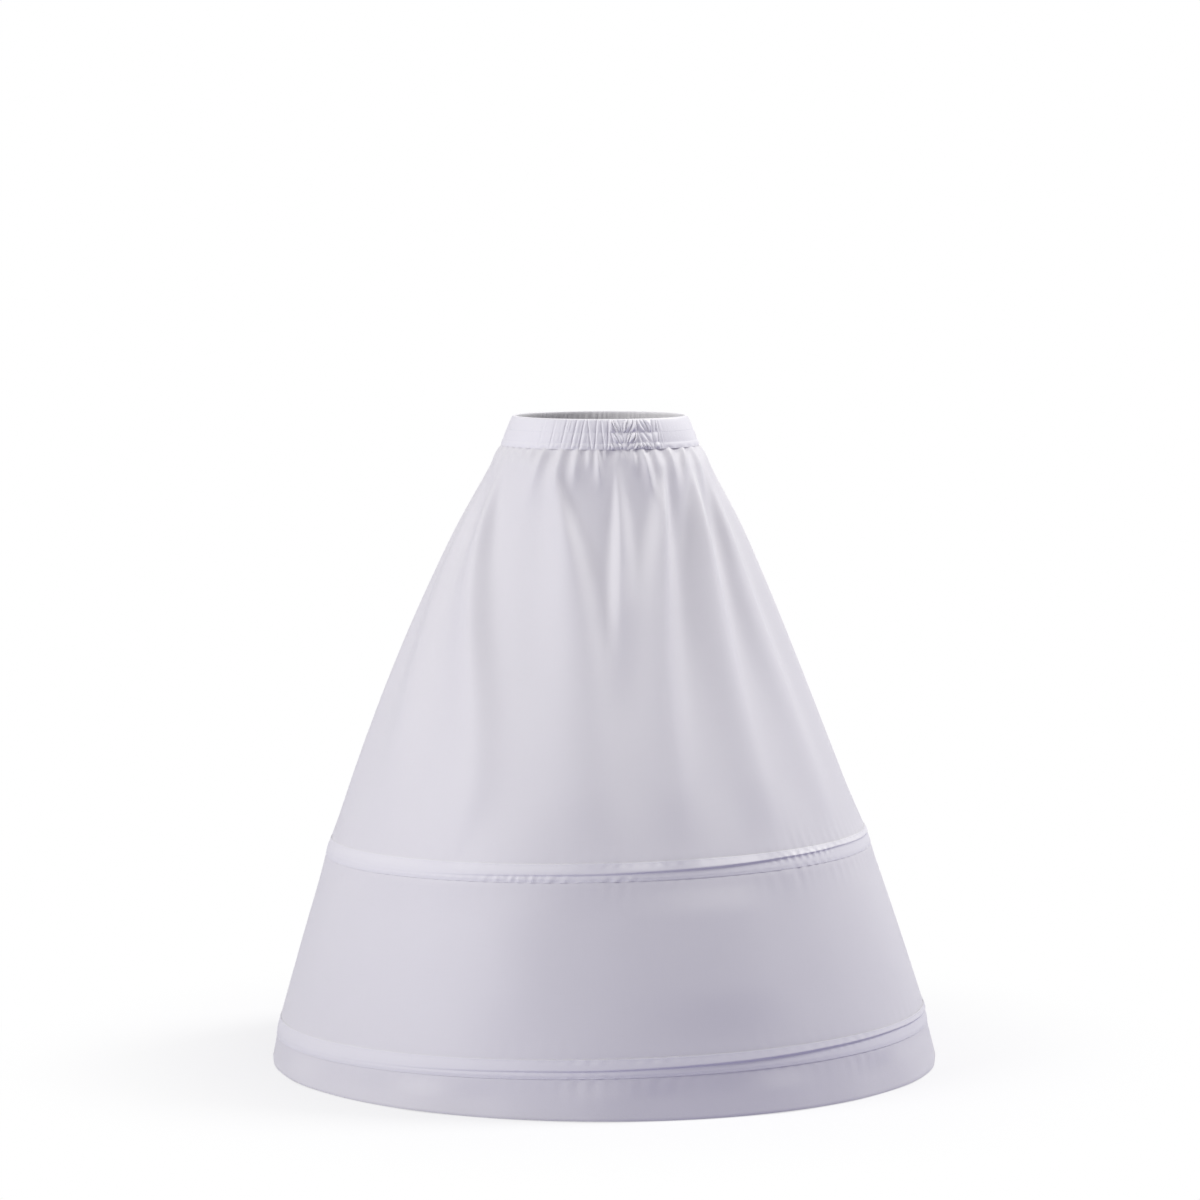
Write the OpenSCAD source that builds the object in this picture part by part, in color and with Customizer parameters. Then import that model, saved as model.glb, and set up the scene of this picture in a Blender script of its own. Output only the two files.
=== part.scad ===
// Hooped petticoat: a cloth skirt gathered onto an elastic waistband and held out by two sprung
// hoops, each in a tape sewn round the outside of the cloth.
// Millimetres. +Z is up and the front faces -Y. The origin is the middle of the waist opening,
// level with the top edge of the waistband. A drop is a height below that edge.

/* [Skirt] */
// Height from the top edge of the waistband to the hem
skirt_h = 923; // [850:1:1000]
// Radius at the hem
hem_r = 477; // [450:1:520]
// How far the side bows out from a straight line between the waist seam and the hem
side_bow = 29.5; // [10:0.5:40]
// Thickness of the skirt cloth
cloth_t = 1; // [0.8:0.1:1.4]
// Height of the hem turned up on the inside
hem_turn_h = 12; // [8:1:20]

/* [Waistband] */
// Half the width of the waistband at its top edge
waist_half_w = 124; // [100:1:150]
// How much wider its lower edge is on each side
waist_flare = 17.5; // [5:0.5:25]
// Depth of the waist from front to back, as a share of its width
waist_depth_share = 0.8; // [0.7:0.01:1]
// Height of each of the two elastics
elastic_h = 15.5; // [10:0.5:20]
// Thickness of the elastics
elastic_t = 1; // [0.8:0.1:1.6]
// Height of the stitched row between the elastics
stitch_row_h = 3; // [2:0.5:5]
// Height of the skirt cloth caught inside the lower edge of the waistband
seam_allowance = 6; // [4:0.5:10]
// Number of puckers round the waistband
pucker_count = 60; // [40:1:60]
// Depth of the puckers
pucker_depth = 2; // [0.5:0.1:3]

/* [Gathers and folds] */
// Number of gathers under the waistband
gather_count = 40; // [24:2:42]
// Depth of the gathers
gather_depth = 6.5; // [2:0.5:9]
// Height of the broad folds of the upper skirt
fold_depth = 18; // [8:0.5:20]

/* [Hoops] */
// Height of the hem band, from the lower hoop to the hem
hem_band_h = 55; // [45:1:100]
// Height between the two hoops
hoop_spacing = 256; // [200:1:320]
// Angle by which the hoops hang higher on the right
side_lean = 1.2; // [0:0.1:2]
// Angle by which the hoops hang higher at the front
front_lean = 1.2; // [0:0.1:2]
// Width of the boning that the hoops are bent from
boning_w = 9; // [6:0.5:11]
// Thickness of the boning
boning_t = 1.4; // [1:0.1:2]
// Gap between the two ends of a hoop
hoop_end_gap = 4; // [1:0.5:10]
// Length of the sleeve that joins the ends
joiner_l = 60; // [40:1:90]
// Wall of the sleeve
joiner_wall = 0.6; // [0.5:0.1:1]

/* [Casings] */
// Width of the tape
casing_w = 26; // [24:0.5:32]
// Thickness of the tape
tape_t = 0.8; // [0.6:0.1:1.2]
// Width of the flat lip along each edge, where the tape is sewn down
lip_w = 3; // [2:0.5:4]

/* [Hidden] */
// Room between a piece and what it sits in
clearance = 0.3;
// Room between the boning and its sleeve
sleeve_fit = 0.15;
// Gap between two edges that are sewn to each other
seam_gap = 0.2;

// Segments round the skirt, the waistband and an elastic
skirt_segments = 4 * gather_count;
band_segments = 2 * pucker_count;
elastic_segments = pucker_count;
// Segments down the side of the lower skirt
side_segments = 6;
// Segments across the raised middle of a casing, on each side
ramp_segments = 5;
$fn = 180;

// Waistband section, counted inwards from its outer face
channel_t = max(elastic_t, cloth_t) + 2 * clearance;
band_t = 2 * cloth_t + channel_t;
channel_top = cloth_t + clearance;
upper_elastic_top = channel_top + clearance;
stitch_drop = upper_elastic_top + elastic_h + stitch_row_h / 2;
lower_elastic_top = stitch_drop + stitch_row_h / 2;
waistband_h = lower_elastic_top + elastic_h + 2 * clearance + seam_allowance;
seam_half_w = waist_half_w + waist_flare;
// Outer face of the skirt's top edge, in the middle of the waistband's channel
seam_seat = -(channel_t + cloth_t) / 2;

lower_hoop_drop = skirt_h - hem_band_h;
upper_hoop_drop = lower_hoop_drop - hoop_spacing;
// The upper skirt hangs free from the waistband down to just above the upper casing
casing_margin = 4;
free_end = upper_hoop_drop - casing_w / 2 - casing_margin;
// Rows of the upper skirt, as shares of that free height, closer together among the gathers
row_shares = [0, 0.015, 0.045, 0.095, 0.18, 0.32, 0.5, 0.74, 0.94, 1];
// Share of the free height over which the gathers swell out and then die away
gather_rise = 0.006;
gather_fade = 0.11;
// Broad folds: degrees of the crest to the right of the middle of the front, at the shares of the
// free height in fold_stops; width of its left and its right flank in degrees; height as a share
// of the fold depth; share of the free height where the fold has died away
fold_stops = [0, 0.3, 0.6, 1];
folds = [
    [[-90, -88, -86, -85], 8, 8, 0.7, 1],
    [[-82, -74, -62, -58], 8, 7, 0.6, 1],
    [[-64, -51, -35.5, -35], 10, 6, 0.9, 1],
    [[-28, -13, -5, -2.5], 11, 6, 0.9, 1],
    [[9, 8, 5, 3], 3.5, 6, 0.6, 0.66],
    [[38, 23, 18.5, 17.5], 7, 6, 1, 1],
    [[60, 44, 39.5, 40], 7, 6, 1, 1],
    [[76, 62, 60, 60], 7, 6, 0.9, 1],
    [[92, 82, 79, 78], 8, 8, 0.8, 1],
    [[110, 106, 103, 102], 7, 6, 0.85, 1],
    [[128, 129, 126, 124], 6, 8, 0.95, 1],
    [[148, 146, 147, 146], 8, 6, 0.8, 1],
    [[166, 169, 168, 166], 7, 7, 1, 1],
    [[186, 184, 187, 188], 6, 8, 0.85, 1],
    [[205, 208, 206, 207], 8, 6, 0.95, 1],
    [[224, 222, 225, 227], 7, 7, 0.8, 1],
    [[246, 247, 248, 249], 8, 7, 0.9, 1],
];
// What the ring of folds stands out by on average, as a share of the fold depth
fold_mean = 0.45;

// Boning, sleeve and tape, measured outwards from the cloth
joiner_w = boning_w + 2 * (sleeve_fit + joiner_wall);
joiner_t = boning_t + 2 * (sleeve_fit + joiner_wall);
hoop_height = clearance + joiner_t / 2;
tape_rise = joiner_t + 2 * clearance;
channel_w = joiner_w + 2 * clearance;
ramp_w = (casing_w - 2 * lip_w - channel_w) / 2;
corner = 0.3;
front_angle = 270;
// The hoops are joined at the middle of the back
join_angle = 90;
lean_pivot = -(upper_hoop_drop + lower_hoop_drop) / 2;

// Shape of the skirt

// Share of the way from the waist seam to the hem
function side_share(drop) = (drop - waistband_h) / (skirt_h - waistband_h);

function waistband_half_w(drop) = waist_half_w + waist_flare * drop / waistband_h;

// Half width of the skirt's outer face: inside the waistband it follows that, and below the seam
// it is a straight side with a parabolic bow
function skirt_r(drop) =
    let (u = side_share(drop))
    u < 0
        ? waistband_half_w(drop)
        : seam_half_w + (hem_r - seam_half_w) * u + 4 * side_bow * u * (1 - u);

// Angle of that face from the vertical
function side_angle(drop) =
    let (u = side_share(drop))
    atan((hem_r - seam_half_w + 4 * side_bow * (1 - 2 * u)) / (skirt_h - waistband_h));

// Point on an oval, n outwards from its outline
function oval_point(angle, half_w, depth_share, n, drop) =
    [(half_w + n) * cos(angle), (half_w * depth_share + n) * sin(angle), -drop];

// A point moved with the two hoops as they lean to the front and then to the side
function leaned_point(p) =
    let (
        above = p[2] - lean_pivot,
        z = above * cos(front_lean) - p[1] * sin(front_lean)
    )
    [
        p[0] * cos(side_lean) - z * sin(side_lean),
        p[1] * cos(front_lean) + above * sin(front_lean),
        p[0] * sin(side_lean) + z * cos(side_lean) + lean_pivot,
    ];

// Soft step from 0 to 1
function eased(x) =
    let (t = max(0, min(1, x)))
    t * t * (3 - 2 * t);

// Gathers and folds

// Share of the way down the free height, held between 0 and 1
function free_share(drop) = max(0, min(1, (drop - waistband_h) / (free_end - waistband_h)));

// Round ridges with sharp valleys, unevenly spaced
function gather_wave(angle) =
    let (wander = 60 * sin(7 * angle + 20) + 40 * sin(11 * angle))
    abs(sin(gather_count / 2 * angle + wander)) - 2 / PI;

function gather_swell(v) = (1 - exp(-v / gather_rise)) * exp(-v / gather_fade) * (1 - v);

// Height of one fold as a share of the fold depth: a round ridge that narrows towards the waist
function fold_height(fold, angle, v) =
    let (
        crest = lookup(v, [for (i = [0 : 3]) [fold_stops[i], fold[0][i]]]),
        away = (angle - front_angle - crest + 540) % 360 - 180,
        flank = (away < 0 ? fold[1] : fold[2]) * (0.45 + 0.55 * eased(v / 0.4)),
        end = fold[4],
        kept = end < 1 ? 1 - eased(2 * v / end - 1) : 1
    )
    fold[3] * kept * exp(-pow(away / flank, 2));

function sum(values) = values * [for (value = values) 1];

function fold_wave(angle, v) = sum([for (fold = folds) fold_height(fold, angle, v)]) - fold_mean;

// The folds swell among the gathers, lessen on the way down and are pulled flat by the casing
function fold_swell(v) =
    eased(v / 0.16) * (1 - 0.6 * eased((v - 0.35) / 0.6)) * (1 - eased((v - 0.945) / 0.055));

// How far the cloth stands out from the plain side
function cloth_offset(angle, v) =
    seam_seat * (1 - eased(v / row_shares[2]))
    + gather_depth * gather_wave(angle) * gather_swell(v)
    + fold_depth * fold_wave(angle, v) * fold_swell(v);

// Point on the upper skirt, oval at the waist and round, leaning with the hoops, at the casing
function upper_skirt_point(angle, drop, depth) =
    let (
        v = free_share(drop),
        depth_share = waist_depth_share + (1 - waist_depth_share) * eased(v),
        level = oval_point(angle, skirt_r(drop), depth_share, cloth_offset(angle, v) - depth, drop)
    )
    level + (leaned_point(level) - level) * eased(v);

// Sheets made from a row of sections

// Triangles that join sections of the same number of points, as a ring or with two closed ends.
// The two faces of a sheet, each half of a section's points, are split along like diagonals.
function joined_faces(sections, points, ring) = [
    for (i = [0 : sections - (ring ? 1 : 2)], j = [0 : points - 1])
        let (
            next_i = (i + 1) % sections,
            next_j = (j + 1) % points,
            a = i * points + j,
            b = i * points + next_j,
            c = next_i * points + next_j,
            d = next_i * points + j
        )
        each j < points / 2 ? [[a, b, c], [a, c, d]] : [[a, b, d], [b, c, d]],
    if (!ring)
        for (j = [0 : points / 2 - 2])
            let (
                k = points - 1 - j,
                last = (sections - 1) * points
            )
            each [
                [k, k - 1, j + 1],
                [k, j + 1, j],
                [last + j, last + j + 1, last + k - 1],
                [last + j, last + k - 1, last + k],
            ],
];

module joined_sections(sections, ring) {
    polyhedron(
        points = [for (section = sections) each section],
        faces = joined_faces(len(sections), len(sections[0]), ring)
    );
}

// Ring along the waistband's oval, with a section of [outwards, drop] points at each segment
module oval_ring(segments, section_at) {
    joined_sections([
        for (i = [0 : segments - 1])
            let (angle = 360 * i / segments)
            [
                for (p = section_at(i))
                    oval_point(angle, waistband_half_w(p[1]), waist_depth_share, p[0], p[1])
            ]
    ], true);
}

// Waistband and elastics

// Folded strip, open at its lower edge, with the puckers on its outer face
function waistband_section(i) =
    let (
        angle = 360 * i / band_segments,
        ridge = i % 2 == 0 ? pucker_depth * (0.7 + 0.3 * sin(9 * angle)) : 0,
        upper_middle = upper_elastic_top + elastic_h / 2,
        lower_middle = lower_elastic_top + elastic_h / 2,
        fold_top = band_t / 4
    )
    [
        [-cloth_t, waistband_h],
        [0, waistband_h],
        [ridge, lower_middle],
        [0, stitch_drop],
        [ridge, upper_middle],
        [ridge / 4, cloth_t],
        [-fold_top, 0],
        [fold_top - band_t, 0],
        [-band_t, cloth_t],
        [-band_t, waistband_h],
        [cloth_t - band_t, waistband_h],
        [cloth_t - band_t, channel_top],
        [-cloth_t, channel_top],
    ];

module waistband() {
    color("white")
        oval_ring(band_segments, function (i) waistband_section(i));
}

module waist_elastic(top) {
    outer = -cloth_t - (channel_t - elastic_t) / 2;
    inner = outer - elastic_t;
    color("ivory")
        oval_ring(elastic_segments, function (i) [
            [outer, top],
            [inner, top],
            [inner, top + elastic_h],
            [outer, top + elastic_h],
        ]);
}

// Upper skirt

// Half of the gathered skirt, counter-clockwise from a side seam
module upper_skirt(first_angle) {
    drops = concat(
        [waistband_h - seam_allowance],
        [for (v = row_shares) waistband_h + v * (free_end - waistband_h)],
        [upper_hoop_drop - seam_gap / 2]
    );
    half = skirt_segments / 2;
    rows = len(drops);
    joined_sections([
        for (i = [0 : half])
            let (angle = first_angle + 180 * i / half)
            concat(
                [for (j = [0 : rows - 1]) upper_skirt_point(angle, drops[j], cloth_t)],
                [for (j = [rows - 1 : -1 : 0]) upper_skirt_point(angle, drops[j], 0)]
            )
    ], false);
}

// Tiers below the upper hoop

// Places what is round the hoops' own axis
module leaned() {
    translate([0, 0, lean_pivot])
        rotate([-front_lean, -side_lean, 0])
            translate([0, 0, -lean_pivot])
                children();
}

// Half of a cloth ring that follows the side of the skirt
module half_tier(top, bottom, thickness, first_angle) {
    step = (bottom - top) / side_segments;
    drops = [for (i = [0 : side_segments]) top + i * step];
    rotate([0, 0, first_angle])
        rotate_extrude(angle = 180)
            polygon(concat(
                [for (d = drops) [skirt_r(d), -d]],
                [for (i = [side_segments : -1 : 0]) [skirt_r(drops[i]) - thickness, -drops[i]]]
            ));
}

module lower_skirt(first_angle) {
    leaned()
        half_tier(upper_hoop_drop + seam_gap / 2, lower_hoop_drop - seam_gap / 2, cloth_t, first_angle);
}

// The band's upper edge leans with the hoop, and its hem is level and two layers thick
module hem_band(first_angle) {
    reach = 2 * hem_r;
    overrun = hem_r * tan(side_lean + front_lean) + hem_turn_h;
    difference() {
        leaned()
            half_tier(lower_hoop_drop + seam_gap / 2, skirt_h + overrun, 2 * cloth_t, first_angle);
        translate([-reach, -reach, -skirt_h - 2 * overrun])
            cube([2 * reach, 2 * reach, 2 * overrun]);
        intersection() {
            leaned()
                hem_inside(overrun);
            translate([-reach, -reach, hem_turn_h - skirt_h])
                cube([2 * reach, 2 * reach, skirt_h]);
        }
    }
}

// Space inside the single layer of the hem band
module hem_inside(overrun) {
    top = lower_hoop_drop - overrun;
    bottom = skirt_h + overrun;
    step = (lower_hoop_drop + seam_gap / 2 - bottom) / side_segments;
    drops = concat([for (i = [0 : side_segments]) bottom + i * step], [top]);
    rotate_extrude()
        polygon(concat(
            [[0, -bottom]],
            [for (d = drops) [skirt_r(d) - cloth_t, -d]],
            [[0, -top]]
        ));
}

// Moves a panel off the side seams by half their gap, to the front or to the back
module seamed(side) {
    translate([0, side * seam_gap / 2, 0])
        children();
}

// Hoops, sleeves and casings

// Point at a hoop, along the slant of the cloth and outwards from it
function at_hoop(drop, along, out) =
    let (a = side_angle(drop))
    [
        skirt_r(drop) + along * sin(a) + out * cos(a),
        -drop - along * cos(a) + out * sin(a),
    ];

// Flat bar section with its corners broken
module bar_section(drop, w, t) {
    x = w / 2;
    y = t / 2;
    polygon([
        for (p = [
            [-x + corner, -y], [x - corner, -y], [x, -y + corner], [x, y - corner],
            [x - corner, y], [-x + corner, y], [-x, y - corner], [-x, -y + corner],
        ])
            at_hoop(drop, p[0], hoop_height + p[1])
    ]);
}

module hoop(drop) {
    gap_angle = hoop_end_gap / skirt_r(drop) * 180 / PI;
    color("gainsboro")
        leaned()
            rotate([0, 0, join_angle + gap_angle / 2])
                rotate_extrude(angle = 360 - gap_angle)
                    bar_section(drop, boning_w, boning_t);
}

module hoop_joiner(drop) {
    sleeve_angle = joiner_l / skirt_r(drop) * 180 / PI;
    color("silver")
        leaned()
            rotate([0, 0, join_angle - sleeve_angle / 2])
                rotate_extrude(angle = sleeve_angle)
                    difference() {
                        bar_section(drop, joiner_w, joiner_t);
                        bar_section(drop, boning_w + 2 * sleeve_fit, boning_t + 2 * sleeve_fit);
                    }
}

// Height of the tape's inner face over the cloth: flat lips, a soft ramp and a flat channel
function tape_height(along) =
    let (x = (casing_w / 2 - lip_w - abs(along)) / ramp_w)
    seam_gap + (tape_rise - seam_gap) * eased(x);

module hoop_casing(drop) {
    ramp = [for (i = [0 : ramp_segments]) channel_w / 2 + ramp_w * i / ramp_segments];
    half = concat(ramp, [casing_w / 2]);
    last = len(half) - 1;
    across = concat([for (i = [last : -1 : 0]) -half[i]], half);
    end = len(across) - 1;
    color("white")
        leaned()
            rotate_extrude()
                polygon(concat(
                    [for (s = across) at_hoop(drop, s, tape_height(s))],
                    [for (i = [end : -1 : 0]) at_hoop(drop, across[i], tape_height(across[i]) + tape_t)]
                ));
}

// Sub-parts, from the waist down

module waist_elastic_upper() { waist_elastic(upper_elastic_top); }

module waist_elastic_lower() { waist_elastic(lower_elastic_top); }

module upper_skirt_front() { color("white") seamed(-1) upper_skirt(180); }

module upper_skirt_back() { color("white") seamed(1) upper_skirt(0); }

module upper_hoop_casing() { hoop_casing(upper_hoop_drop); }

module upper_hoop() { hoop(upper_hoop_drop); }

module upper_hoop_joiner() { hoop_joiner(upper_hoop_drop); }

module lower_skirt_front() { color("white") seamed(-1) lower_skirt(180); }

module lower_skirt_back() { color("white") seamed(1) lower_skirt(0); }

module lower_hoop_casing() { hoop_casing(lower_hoop_drop); }

module lower_hoop() { hoop(lower_hoop_drop); }

module lower_hoop_joiner() { hoop_joiner(lower_hoop_drop); }

module hem_band_front() { color("white") seamed(-1) hem_band(180); }

module hem_band_back() { color("white") seamed(1) hem_band(0); }

waistband();
waist_elastic_upper();
waist_elastic_lower();
upper_skirt_front();
upper_skirt_back();
upper_hoop_casing();
upper_hoop();
upper_hoop_joiner();
lower_skirt_front();
lower_skirt_back();
lower_hoop_casing();
lower_hoop();
lower_hoop_joiner();
hem_band_front();
hem_band_back();
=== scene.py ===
import math
from functools import partial

import bpy
import numpy as np
from bpy.props import FloatProperty, FloatVectorProperty, IntProperty, PointerProperty
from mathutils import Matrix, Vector


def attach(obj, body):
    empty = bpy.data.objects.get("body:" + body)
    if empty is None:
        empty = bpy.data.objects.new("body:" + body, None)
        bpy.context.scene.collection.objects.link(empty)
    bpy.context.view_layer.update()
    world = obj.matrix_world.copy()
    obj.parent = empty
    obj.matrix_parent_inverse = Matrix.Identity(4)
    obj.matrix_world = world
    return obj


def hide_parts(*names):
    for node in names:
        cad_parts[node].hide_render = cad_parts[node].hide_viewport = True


bl_info = {
    "name": "Hooped petticoat",
    "version": (1, 0, 0),
    "blender": (4, 5, 0),
    "location": "3D View > Sidebar > Petticoat",
    "description": "Dresses the frame of a hooped petticoat in gathered cloth, tapes and stitching",
    "category": "Object",
}

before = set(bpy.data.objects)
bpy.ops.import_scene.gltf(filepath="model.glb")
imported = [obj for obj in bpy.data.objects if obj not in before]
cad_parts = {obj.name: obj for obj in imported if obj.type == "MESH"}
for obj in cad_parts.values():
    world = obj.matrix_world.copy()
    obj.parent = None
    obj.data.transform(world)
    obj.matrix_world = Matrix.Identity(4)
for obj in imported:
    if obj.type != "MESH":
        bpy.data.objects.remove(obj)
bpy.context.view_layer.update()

# Metres. +Z is up, the front faces -Y, and a drop is a height below the top edge of the waistband.
# Angles round the skirt run from +X over the back; degrees from the front run to the right.
FRONT = math.radians(270)
# The upper skirt hangs free down to this far above the upper tape
CASING_MARGIN = 0.004
# Outer face of the skirt's top edge, inside the waistband, and the share of the free height over
# which the cloth comes out from there
SEAM_SEAT = -0.0013
SEAM_BLEND = 0.045
# Height of the skirt cloth that is sewn inside the waistband
SEAM_TURN = 0.006
# Between two pieces of cloth at a seam
SEAM_GAP = 0.0002
# Girth of the waist's oval as a share of that of a circle of its width
OVAL_GIRTH = 0.9
# Name of a panel, angle of its first column, and the side of the seams on which it lies
PANELS = (("front", math.pi, -1), ("back", 0.0, 1))
# Name of a tape, and whether it is the lower one
TAPES = (("upper", False), ("lower", True))


# Sizes and looks

def length(label, note, default):
    return FloatProperty(
        name=label, description=note, default=default, min=0, precision=4, unit="LENGTH")


def share(label, note, default):
    return FloatProperty(
        name=label, description=note, default=default, min=0, max=1, subtype="FACTOR")


def tint(label, note, default):
    return FloatVectorProperty(
        name=label, description=note, default=default, size=3, min=0, max=1, subtype="COLOR")


def lean(label, note, degrees):
    return FloatProperty(
        name=label, description=note, default=math.radians(degrees), subtype="ANGLE")


def level(label, note, default):
    return FloatProperty(name=label, description=note, default=default, min=0)


class PetticoatSizes(bpy.types.PropertyGroup):
    """Sizes of the skirt, as in its frame"""

    skirt_h: length("Skirt height", "From the top edge of the waistband to the hem", 0.923)
    hem_r: length("Hem radius", "Radius at the hem", 0.477)
    side_bow: length("Side bow", "How far the side bows out from a straight line", 0.0295)
    cloth_t: length("Cloth", "Thickness of the skirt cloth", 0.0006)
    waist_half_w: length("Waist half width", "Half the width of the waistband's top edge", 0.124)
    waist_flare: length("Waist flare", "How much wider the lower edge is on each side", 0.0175)
    waist_depth: share("Waist depth", "Depth of the waist as a share of its width", 0.8)
    waistband_h: length("Waistband height", "Height of the folded strip", 0.0422)
    waistband_t: length("Waistband thickness", "From its outer to its inner face", 0.0036)
    band_cloth_t: length("Waistband cloth", "Thickness of one of its two layers", 0.0005)
    stitch_drop: length("Waistband stitching", "Drop of the row sewn between the elastics", 0.0186)
    edge_stitch_drop: length("Lower stitching", "Drop of the row above the lower edge", 0.0333)
    upper_hoop_drop: length("Upper hoop", "Drop of the upper hoop", 0.612)
    lower_hoop_drop: length("Lower hoop", "Drop of the lower hoop", 0.868)
    hem_turn_h: length("Hem turn", "Height of the hem turned up on the inside", 0.012)
    casing_w: length("Tape width", "Width of the tape over a hoop", 0.026)
    casing_lip: length("Tape lip", "Flat edge of the tape, sewn to the cloth", 0.003)
    casing_lift: length("Tape lift", "How far the middle of the tape lies above the hoop", 0.003)
    fold_drop_w: length("Fold of the tape", "Width over which the tape drops at its fold", 0.0026)
    tape_t: length("Tape", "Thickness of the tape", 0.0005)
    stitch_pitch: length("Stitch", "Length of a stitch with its gap", 0.003)
    side_lean: lean("Side lean", "Angle by which the hoops hang higher on the right", 1.2)
    front_lean: lean("Front lean", "Angle by which the hoops hang higher at the front", 1.2)


class PetticoatFolds(bpy.types.PropertyGroup):
    """Gathers, folds and puckers of the cloth"""

    gather_depth: length("Gathers", "Depth of the gathers under the waistband", 0.0071)
    fold_depth: length("Folds", "Height of the broad folds of the upper skirt", 0.018)
    ruche_depth: length("Ruching", "Depth of the puckers on the waistband", 0.0017)
    pucker_depth: length("Puckers", "Depth of the puckers along the sewn tapes", 0.0011)
    seed: IntProperty(name="Seed", description="Seed of the uneven places", default=7, min=0)


class PetticoatLook(bpy.types.PropertyGroup):
    """Colours and finish"""

    cloth: tint("Cloth", "Colour of the skirt cloth", (0.820, 0.809, 0.798))
    band: tint("Waistband", "Colour of the doubled cloth of the waistband", (0.890, 0.881, 0.876))
    tape: tint("Tape", "Colour of the tapes over the hoops", (0.880, 0.872, 0.862))
    thread: tint("Thread", "Colour of the sewing thread", (0.86, 0.855, 0.89))
    elastic: tint("Elastic", "Colour of the elastics", (0.78, 0.76, 0.72))
    boning: tint("Boning", "Colour of the hoops", (0.74, 0.75, 0.77))
    joiner: tint("Sleeve", "Colour of the sleeves that join the hoops", (0.55, 0.56, 0.58))
    weave_pitch: length("Weave", "Distance between two threads of the cloth", 0.0004)
    tape_pitch: length("Tape weave", "Distance between two threads of the tape", 0.0006)


class PetticoatStage(bpy.types.PropertyGroup):
    """Floor and light"""

    floor: tint("Floor", "Colour of the floor", (0.86, 0.86, 0.86))
    bounce: tint("Bounce", "Colour of the light that the floor throws back", (0.20, 0.183, 0.37))
    sky: tint("Ambient tint", "Colour of the light from all round", (0.89, 0.86, 1))
    ambient: level("Ambient", "Strength of the light from all round", 0.40)
    left: level("Left light", "Strength of the broad light from the left", 0.57)
    right: level("Right light", "Strength of the broad light from the right", 0.69)


# Form of the skirt

def eased(x):
    x = np.clip(x, 0, 1)
    return x * x * (3 - 2 * x)


class SkirtForm:
    """Plain side of the skirt, without its gathers and folds, as in the frame."""

    def __init__(self, sizes):
        self.sizes = sizes
        self.free_end = sizes.upper_hoop_drop - sizes.casing_w / 2 - CASING_MARGIN
        self.pivot = -(sizes.upper_hoop_drop + sizes.lower_hoop_drop) / 2
        self.seam_half_w = sizes.waist_half_w + sizes.waist_flare

    def side_share(self, drop):
        return (drop - self.sizes.waistband_h) / (self.sizes.skirt_h - self.sizes.waistband_h)

    def band_half_w(self, drop):
        return self.sizes.waist_half_w + self.sizes.waist_flare * drop / self.sizes.waistband_h

    def radius(self, drop):
        u = self.side_share(drop)
        straight = self.seam_half_w + (self.sizes.hem_r - self.seam_half_w) * u
        side = straight + 4 * self.sizes.side_bow * u * (1 - u)
        return np.where(u < 0, self.band_half_w(drop), side)

    def slant(self, drop):
        u = self.side_share(drop)
        run = self.sizes.hem_r - self.seam_half_w + 4 * self.sizes.side_bow * (1 - 2 * u)
        return np.arctan(run / (self.sizes.skirt_h - self.sizes.waistband_h))

    def free_share(self, drop):
        height = self.free_end - self.sizes.waistband_h
        return np.clip((drop - self.sizes.waistband_h) / height, 0, 1)

    def leaned(self, points):
        """Points moved with the two hoops as they lean to the front and then to the side."""
        x, y, above = points[:, 0], points[:, 1], points[:, 2] - self.pivot
        side, front = self.sizes.side_lean, self.sizes.front_lean
        z = above * math.cos(front) - y * math.sin(front)
        return np.stack([
            x * math.cos(side) - z * math.sin(side),
            y * math.cos(front) + above * math.sin(front),
            x * math.sin(side) + z * math.cos(side) + self.pivot,
        ], axis=1)

    def oval(self, angle, half_w, depth, out, drop):
        return np.stack([
            (half_w + out) * np.cos(angle),
            (half_w * depth + out) * np.sin(angle),
            -drop + 0 * angle,
        ], axis=1)

    def band_point(self, angle, drop, out):
        return self.oval(angle, self.band_half_w(drop), self.sizes.waist_depth, out, drop)

    def upper_point(self, angle, drop, out):
        """Oval at the waist; round, and leaning with the hoops, at the tape."""
        turn = eased(self.free_share(drop))
        depth = self.sizes.waist_depth + (1 - self.sizes.waist_depth) * turn
        level_point = self.oval(angle, self.radius(drop), depth, out, drop)
        return level_point + (self.leaned(level_point) - level_point) * turn[:, None]

    def tier_point(self, angle, drop, out):
        """On the round tiers, out from the cloth."""
        slant = self.slant(drop)
        r = self.radius(drop) + out * np.cos(slant)
        z = -drop + out * np.sin(slant)
        return self.leaned(np.stack([r * np.cos(angle), r * np.sin(angle), z], axis=1))

    def casing_point(self, hoop_drop, angle, along, out):
        """At a hoop, down the slant of the cloth and out from it."""
        slant = self.slant(hoop_drop)
        r = self.radius(hoop_drop) + along * np.sin(slant) + out * np.cos(slant)
        z = -hoop_drop - along * np.cos(slant) + out * np.sin(slant)
        return self.leaned(np.stack([r * np.cos(angle), r * np.sin(angle), z + 0 * angle], axis=1))


# Gathers and folds

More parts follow.
